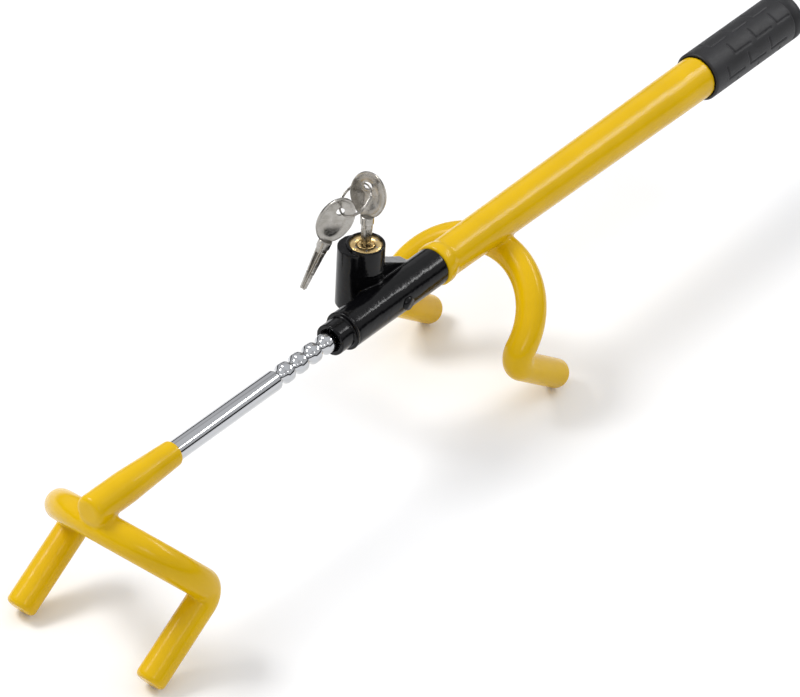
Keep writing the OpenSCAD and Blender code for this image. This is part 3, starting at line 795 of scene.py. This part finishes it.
def drill_pins():
    """Small hardened pins set in the brass face round the keyway."""
    pins = []
    for index in range(GUARD_PINS):
        turn = KEY_TURN + math.radians(24 + 360 / GUARD_PINS * index)
        place = (LOCK_X + GUARD_PIN_REACH * math.cos(turn), LOCK_Y + GUARD_PIN_REACH * math.sin(turn))
        pins.append(turned("guard_pin", [(FACE_Z - 1 * MM, GUARD_PIN_R), (FACE_Z + 0.05 * MM, GUARD_PIN_R)],
                           centre=place, along="Z", segments=24))
    pins = joined(pins, "guard_pins")
    smooth(pins, 40)
    return dress(pins, STEEL, "handle", "pin_steel")


# ---------------------------------------------------------------- floor, lights and camera

# Name, place, width, depth and power of each softbox
LAMPS = [("key_light", (-0.7, 1.1, 1.7), 0.7, 0.7, 24),
         ("far_strip", (1.2, -0.5, 1.15), 0.9, 0.14, 6),
         ("front_light", (-1.3, -1.5, 1.4), 0.5, 0.3, 4)]
LAMP_AIM = Vector((0, 0, 0.05))
CAMERA_PLACE = Vector((-1.93516, -1.39731, 1.82957))
CAMERA_TARGET = Vector((-0.02776, 0.01779, 0.03200))
CAMERA_ROLL = 3.047
CAMERA_LENS = 225.64
CAMERA_SENSOR = 36
FLOOR_SIZE = 8
FLOOR_DROP = 0.0005


def studio():
    none_selected()
    bpy.ops.mesh.primitive_plane_add(size=FLOOR_SIZE, location=(0, 0, -FLOOR_DROP))
    floor = bpy.context.object
    floor.name = "floor"
    pale = bpy.data.materials.new("pale_floor")
    pale.use_nodes = True
    shader = pale.node_tree.nodes["Principled BSDF"]
    shader.inputs["Base Color"].default_value = (0.9, 0.9, 0.9, 1)
    shader.inputs["Roughness"].default_value = 0.9
    floor.data.materials.append(pale)

    bpy.context.scene.world = sky()
    for name, place, size, depth, power in LAMPS:
        lamp = bpy.data.lights.new(name, "AREA")
        lamp.shape = "RECTANGLE"
        lamp.size, lamp.size_y = size, depth
        lamp.energy = power
        holder = bpy.data.objects.new(name, lamp)
        holder.location = place
        holder.rotation_euler = (LAMP_AIM - Vector(place)).to_track_quat("-Z", "Y").to_euler()
        bpy.context.scene.collection.objects.link(holder)


def sky():
    """A pale studio with a dark band just above the floor."""
    world = bpy.data.worlds.new("studio")
    world.use_nodes = True
    tree = world.node_tree
    split = tree.nodes.new("ShaderNodeSeparateXYZ")
    tree.links.new(tree.nodes.new("ShaderNodeTexCoord").outputs["Generated"], split.inputs[0])
    ramp = tree.nodes.new("ShaderNodeValToRGB")
    tree.links.new(split.outputs["Z"], ramp.inputs["Fac"])
    stops = ramp.color_ramp.elements
    stops[0].position, stops[0].color = 0.10, (0.02, 0.02, 0.022, 1)
    stops[1].position, stops[1].color = 1.0, (0.80, 0.82, 0.85, 1)
    for position, level in ((0.17, 0.06), (0.2, 0.62), (0.55, 0.68), (0.6, 0.42), (0.66, 0.72)):
        stop = stops.new(position)
        stop.color = (level, level, level * 1.02, 1)
    tree.links.new(ramp.outputs["Color"], tree.nodes["Background"].inputs["Color"])
    tree.nodes["Background"].inputs["Strength"].default_value = 1.0
    return world


def camera():
    lens = bpy.data.cameras.new("camera")
    lens.lens = CAMERA_LENS
    lens.sensor_width = CAMERA_SENSOR
    lens.clip_end = 50
    holder = bpy.data.objects.new("camera", lens)
    look = (CAMERA_TARGET - CAMERA_PLACE).to_track_quat("-Z", "Y")
    roll = Matrix.Rotation(math.radians(CAMERA_ROLL), 4, "Z")
    holder.matrix_world = Matrix.Translation(CAMERA_PLACE) @ look.to_matrix().to_4x4() @ roll
    bpy.context.scene.collection.objects.link(holder)
    bpy.context.scene.camera = holder
    bpy.context.scene.view_settings.view_transform = "Standard"


camera()
studio()
finish_cad_nodes()
front_skin()
rear_skin()
notched_rod()
rubber_grip()
lock_body()
keys()
drill_pins()
